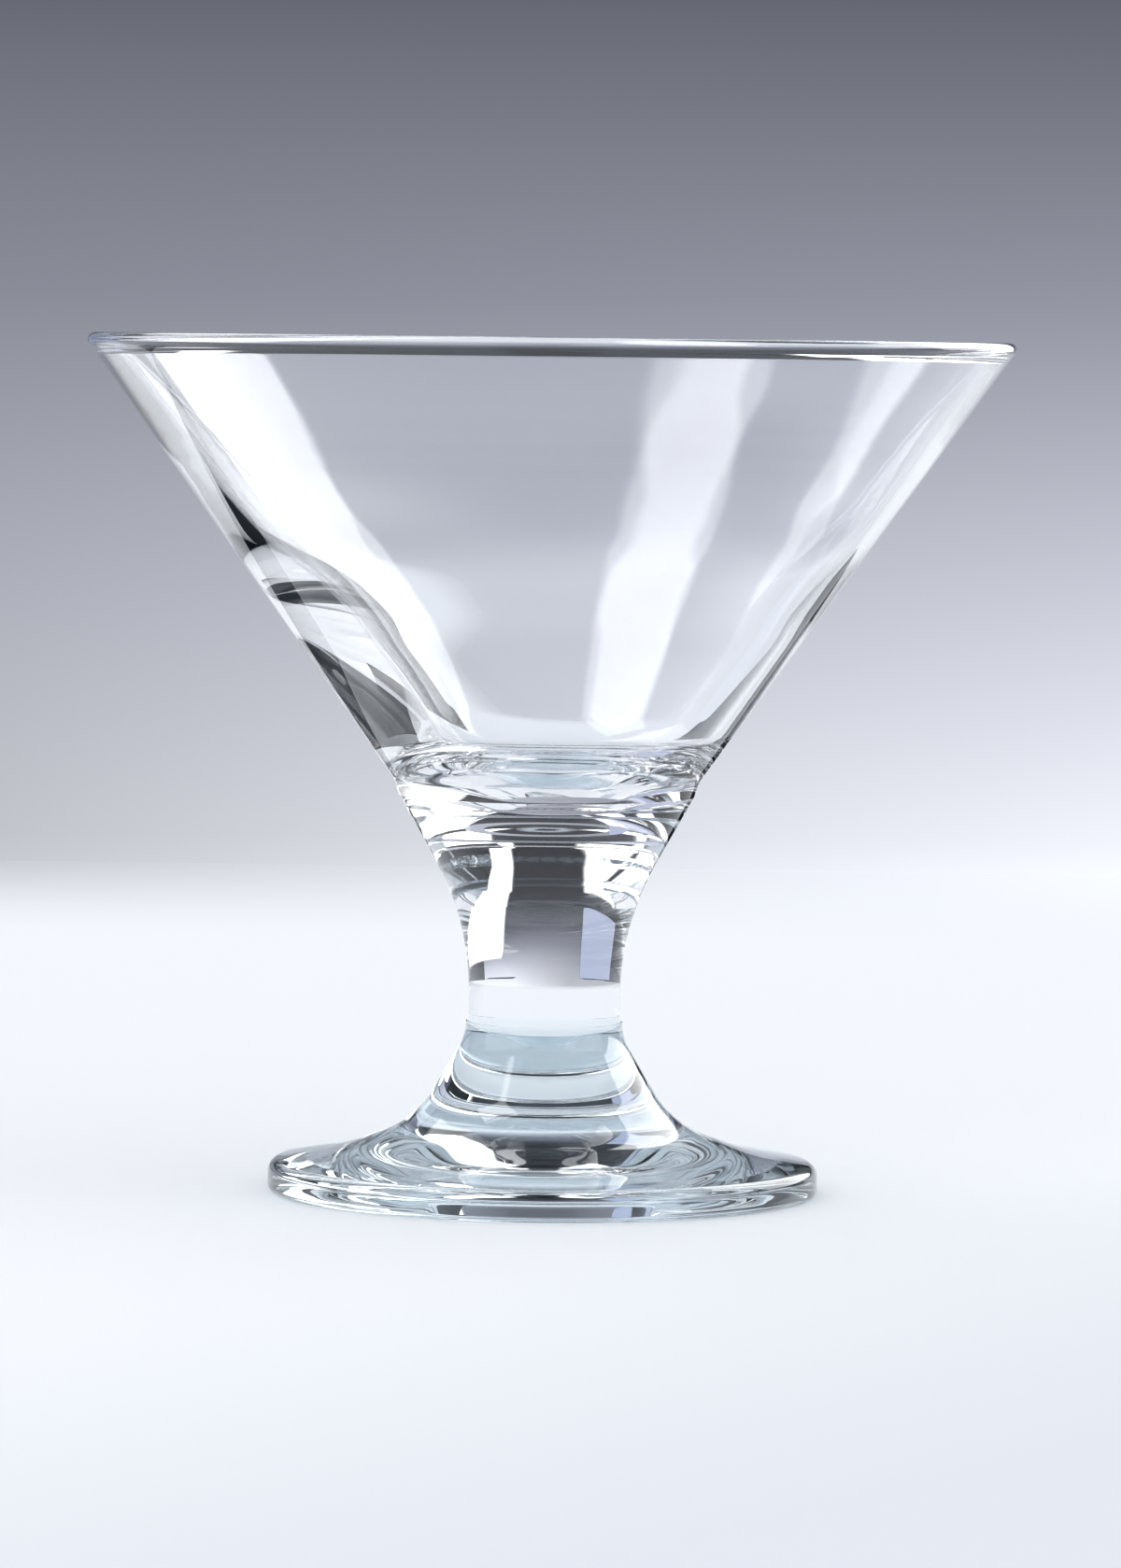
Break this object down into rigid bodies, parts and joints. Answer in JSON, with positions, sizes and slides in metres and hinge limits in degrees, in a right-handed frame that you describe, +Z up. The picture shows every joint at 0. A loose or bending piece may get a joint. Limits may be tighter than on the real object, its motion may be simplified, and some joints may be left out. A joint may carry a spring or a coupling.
{
  "type": "dessert glass",
  "caption": "Clear conical dessert glass with a beaded rim, on a short solid stem that flares into a round foot.",
  "frame": {"origin": "on the glass's axis, in the plane that the foot stands on", "axes": "+Z up along the glass's axis; +X to the right in the picture's view, which looks along +Y"},
  "size_m": [0.12, 0.12, 0.111],
  "materials": {
    "bowl_glass": "clear soda-lime glass, fire polished",
    "stem_glass": "clear soda-lime glass, fire polished",
    "foot_glass": "clear soda-lime glass, pressed and fire polished, faint blue edge"
  },
  "bodies": {
    "root": {"bowl": "bowl_glass", "stem": "stem_glass", "foot": "foot_glass"}
  },
  "joints": []
}
